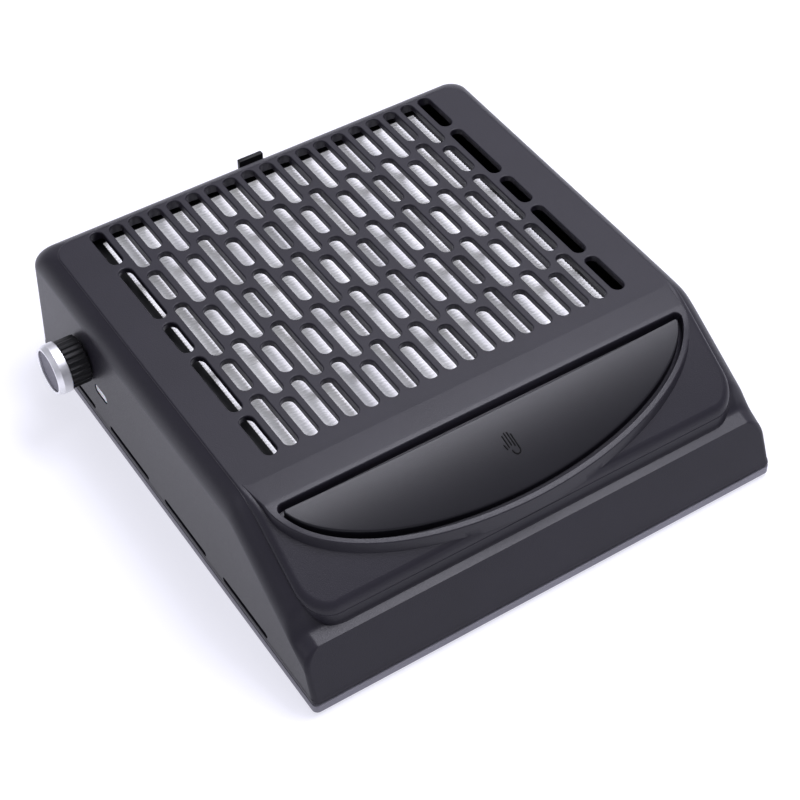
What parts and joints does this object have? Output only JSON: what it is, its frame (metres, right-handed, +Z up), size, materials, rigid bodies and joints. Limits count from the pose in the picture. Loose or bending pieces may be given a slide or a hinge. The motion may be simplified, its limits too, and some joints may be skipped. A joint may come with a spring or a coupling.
{
  "type": "nail dust collector",
  "caption": "Desktop nail dust collector with slotted top grille over a slide-out pleated filter, sloped hand rest, fan inside and a turning speed knob on the left side.",
  "frame": {"origin": "on the table, below the centre of the whole unit's box (the knob on the left is in the box)", "axes": "+Z up, +X to the right of a person at the hand rest, +Y from the hand rest towards the back"},
  "size_m": [0.2832, 0.281, 0.076],
  "materials": {
    "housing_plastic": "fine satin texture",
    "base_plastic": "satin",
    "rest_plastic": "satin",
    "inner_plastic": "satin",
    "foot_rubber": "matt",
    "seal_foam": "open foam",
    "plain_steel": "zinc plated",
    "filter_fleece": "pleated fleece",
    "knob_chrome": "satin chrome",
    "knob_grey": "fine turned",
    "board_laminate": "lacquered laminate",
    "clear_plastic": "frosted",
    "lead_sleeve": "smooth"
  },
  "bodies": {
    "housing": {"top_housing": "housing_plastic", "base_tray": "base_plastic", "hand_rest": "rest_plastic", "foot_1": "foot_rubber", "foot_2": "foot_rubber", "foot_3": "foot_rubber", "foot_4": "foot_rubber", "base_screw_1": "plain_steel", "base_screw_2": "plain_steel", "base_screw_3": "plain_steel", "base_screw_4": "plain_steel", "filter_tray": "inner_plastic", "filter_seal": "seal_foam", "tray_screw_1": "plain_steel", "tray_screw_2": "plain_steel", "tray_screw_3": "plain_steel", "tray_screw_4": "plain_steel", "fan_guard": "inner_plastic", "motor_can": "plain_steel", "motor_end_cap": "inner_plastic", "motor_bracket": "plain_steel", "motor_screw_1": "plain_steel", "motor_screw_2": "plain_steel", "motor_screw_3": "plain_steel", "control_board": "board_laminate", "potentiometer": "plain_steel", "potentiometer_nut": "plain_steel", "signal_led": "clear_plastic", "light_pipe": "clear_plastic", "dc_jack": "inner_plastic", "jack_pin": "plain_steel", "power_lead": "lead_sleeve", "motor_lead": "lead_sleeve"},
    "cartridge": {"filter_frame": "inner_plastic", "filter_media": "filter_fleece"},
    "latch": {"filter_latch": "inner_plastic"},
    "knob": {"knob_skirt": "inner_plastic", "knob_ring": "knob_chrome", "knob_cap": "knob_grey", "knob_shaft": "plain_steel"},
    "fan": {"impeller": "inner_plastic", "motor_shaft": "plain_steel"}
  },
  "joints": [
    {"name": "speed_turn", "type": "hinge", "parent": "housing", "child": "knob", "pos_m": [-0.12236, 0.08205, 0.04124], "axis": [1, 0, 0], "range_deg": [0, 300]},
    {"name": "cartridge_pull", "type": "slide", "parent": "housing", "child": "cartridge", "axis": [0, 1, 0], "range_m": [0, 0.2]},
    {"name": "latch_press", "type": "hinge", "parent": "cartridge", "child": "latch", "pos_m": [0.0091, 0.13065, 0.0655], "axis": [-1, 0, 0], "range_deg": [0, 6], "stiffness_Nm_per_rad": 0.38},
    {"name": "fan_spin", "type": "hinge", "parent": "housing", "child": "fan", "pos_m": [0.0091, 0.03536, 0.025], "axis": [0, 0, 1], "continuous": true}
  ]
}
